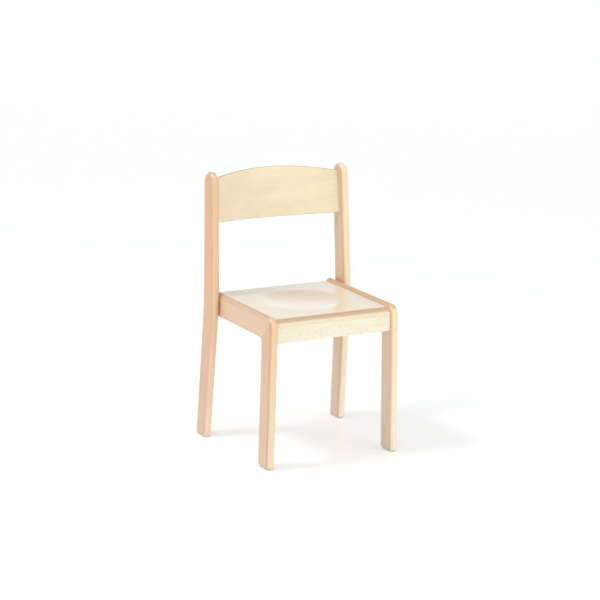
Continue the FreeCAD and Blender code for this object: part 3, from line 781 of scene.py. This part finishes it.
def zinc_steel(name):
    """Zinc-plated steel with a fine spangle."""
    s = Shader(name)
    spangle = s.noise(s.coordinates(), scale=900.0, detail=3.0)
    s.put(Base_Color=s.mix(spangle, (0.50, 0.50, 0.49, 1), (0.68, 0.68, 0.66, 1)), Metallic=1.0,
          Roughness=s.span(spangle, *WIDE, 0.25, 0.42))
    return s.material


# ---------------------------------------------------------------- assembly

def build_frame():
    for seed, side in enumerate(("right", "left")):
        for maker, kind, grain in ((front_leg, "front_leg", "Z"), (side_rail, "side_rail", "Y"),
                                   (rear_leg, "rear_leg", "Z")):
            bm = maker()
            if side == "left":
                mirror(bm)
            node = f"{side}_{kind}"
            log_seed = 3 + seed * 5 + len(kind)
            material = solid_wood(f"beech_{node}", grain, log_seed, BOARD_TONES_AND_PAINTED_LIGHT[node], **BEECH)
            finish_piece(bm, f"{node}_board", material, node)
    for node, rear_y, seed in (("front_rail", SEAT_FRONT_Y + BOARD, 2), ("rear_rail", REAR_RAIL_Y, 9)):
        material = solid_wood(f"beech_{node}", "X", seed, CREAM_TONES, **CREAM_BEECH)
        finish_piece(cross_rail(rear_y), f"{node}_board", material, node)


def build_seat_and_back():
    seat_ply = plywood("seat_ply", "Y", 1, **SEAT_PLYWOOD)
    finish_piece(seat(), "seat_plywood", seat_ply, "seat_panel")
    back_ply = plywood("back_ply", "X", 4, **BACK_PLYWOOD)
    finish_piece(back_panel(), "backrest_plywood", back_ply, "back_panel")


def dress_cad_nodes():
    """Gives the CAD nodes that stay in view their finishes, chosen by a word in the node's name."""
    block = solid_wood("beech_blocks", "X", 14, INNER_TONES, **BEECH)
    pin = solid_wood("beech_dowels", "X", 17, INNER_TONES, **BEECH)
    plastic = moulded_plastic("glide_plastic")
    steel = zinc_steel("zinc_steel")
    finishes = (("nails", steel), ("screws", steel), ("glide", plastic), ("dowels", pin), ("block", block))
    for name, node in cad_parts.items():
        if node.hide_render:
            continue
        finish = next(made for word, made in finishes if word in name)
        node.data.materials.clear()
        node.data.materials.append(finish)


# ---------------------------------------------------------------- studio

CAMERA_AZIMUTH = math.radians(-28.41)
CAMERA_ELEVATION = math.radians(13.59)
CAMERA_ROLL = math.radians(1.01)
CAMERA_DISTANCE = 4.1576
CAMERA_TARGET = Vector((0.02634, 0.05045, 0.29319))
CAMERA_LENS = 117.82               # millimetres

SURROUND_FROM = (-12, 15)          # azimuth and elevation in degrees of the brightest part of the studio
SURROUND_SPAN = (-0.3, 0.9)        # cosines of the angle from there: dimmest, brightest
SURROUND_LEVELS = (0.66, 0.90)
SURROUND_TINT = (0.965, 0.985, 1.0, 1)
BACKDROP_FROM = (150, 0)           # behind the chair as the camera sees it
BACKDROP_SPAN = (0.45, 0.75)       # cosines of the angle from there: none of it, all of it
BACKDROP_HEIGHTS = (0.23, 0.37)    # sines of the elevations between which the bright strip fades out
BACKDROP_LEVELS = (1.2, 0.02)
BACKDROP_TINT = (0.92, 0.985, 1.04, 1)

LAMP_AIM = Vector((0, 0, 0.3))
LAMP_DISTANCE = 2.6
# Name, azimuth and elevation in degrees, width and height in metres, power in watts, colour
SOFTBOXES = (("key_left", -99, 58, 0.55, 0.55, 20, (1.0, 0.98, 0.96)),
             ("fill_front", 26, 25, 1.6, 1.4, 10, (1.0, 0.99, 0.97)))

FLOOR_HALF = 30.0                  # metres from the chair to the edge of the floor
FLOOR_TONES = ((0.86, 0.87, 0.88, 1), (0.87, 0.88, 0.89, 1))


def look(azimuth, elevation):
    """Unit vector from the chair towards a viewer or lamp; azimuth 0 is in front, positive to the right."""
    return Vector((math.sin(azimuth) * math.cos(elevation), -math.cos(azimuth) * math.cos(elevation),
                   math.sin(elevation)))


def add_camera():
    data = bpy.data.cameras.new("camera")
    data.lens = CAMERA_LENS
    camera = add_to_scene("camera", data)
    back = look(CAMERA_AZIMUTH, CAMERA_ELEVATION)
    right = Vector((math.cos(CAMERA_AZIMUTH), math.sin(CAMERA_AZIMUTH), 0))
    up = back.cross(right)
    c, s = math.cos(CAMERA_ROLL), math.sin(CAMERA_ROLL)
    x_axis, y_axis = right * c + up * s, up * c - right * s
    turned = Matrix((x_axis, y_axis, back)).transposed().to_4x4()
    camera.matrix_world = Matrix.Translation(CAMERA_TARGET + back * CAMERA_DISTANCE) @ turned
    bpy.context.scene.camera = camera


def add_softbox(name, azimuth_deg, elevation_deg, width, height, power, colour):
    data = bpy.data.lights.new(name, "AREA")
    data.shape = "RECTANGLE"
    data.size, data.size_y = width, height
    data.energy = power
    data.color = colour
    lamp = add_to_scene(name, data)
    aim = look(math.radians(azimuth_deg), math.radians(elevation_deg))
    lamp.location = LAMP_AIM + aim * LAMP_DISTANCE
    lamp.rotation_mode = "QUATERNION"
    lamp.rotation_quaternion = (-aim).to_track_quat("-Z", "Y")


def add_world():
    """White studio: brightest in front and to the left, with a low bright strip behind the chair.

    The strip shows as a grazing gloss on the seat; above it the back of the studio is dim.
    """
    world = bpy.data.worlds.new("studio")
    world.use_nodes = True
    bpy.context.scene.world = world
    s = Tree(world.node_tree)
    direction = s.coordinates("Generated")
    front = s.dot(direction, look(*map(math.radians, SURROUND_FROM)))
    behind = s.dot(direction, look(*map(math.radians, BACKDROP_FROM)))
    height = s.dot(direction, Vector((0, 0, 1)))
    surround = s.span(front, *SURROUND_SPAN, *SURROUND_LEVELS)
    backdrop = s.span(height, *BACKDROP_HEIGHTS, *BACKDROP_LEVELS)
    share = s.span(behind, *BACKDROP_SPAN)
    glow = s.weigh((s.math("SUBTRACT", 1.0, share), surround), (share, backdrop))
    background = s.tree.nodes["Background"]
    s.set(background.inputs["Color"], s.mix(share, SURROUND_TINT, BACKDROP_TINT))
    s.set(background.inputs["Strength"], glow)


def add_floor():
    """Pale sweep, slightly glossy, lit a little beyond paper white."""
    mesh = bpy.data.meshes.new("studio_floor")
    corners = [(x * FLOOR_HALF, y * FLOOR_HALF, 0) for x, y in ((-1, -1), (1, -1), (1, 1), (-1, 1))]
    mesh.from_pydata(corners, [], [(0, 1, 2, 3)])
    floor = add_to_scene("studio_floor", mesh)
    s = Shader("studio_floor")
    patch = s.noise(s.coordinates(), scale=3.0)
    s.put(Base_Color=s.mix(patch, *FLOOR_TONES), Roughness=0.28, Specular_IOR_Level=0.4,
          Emission_Color=(1.0, 0.97, 0.93, 1), Emission_Strength=0.28)
    mesh.materials.append(s.material)


def build_studio():
    add_camera()
    add_world()
    add_floor()
    for softbox in SOFTBOXES:
        add_softbox(*softbox)
    bpy.context.scene.view_settings.view_transform = "Standard"


build_frame()
build_seat_and_back()
dress_cad_nodes()
build_studio()
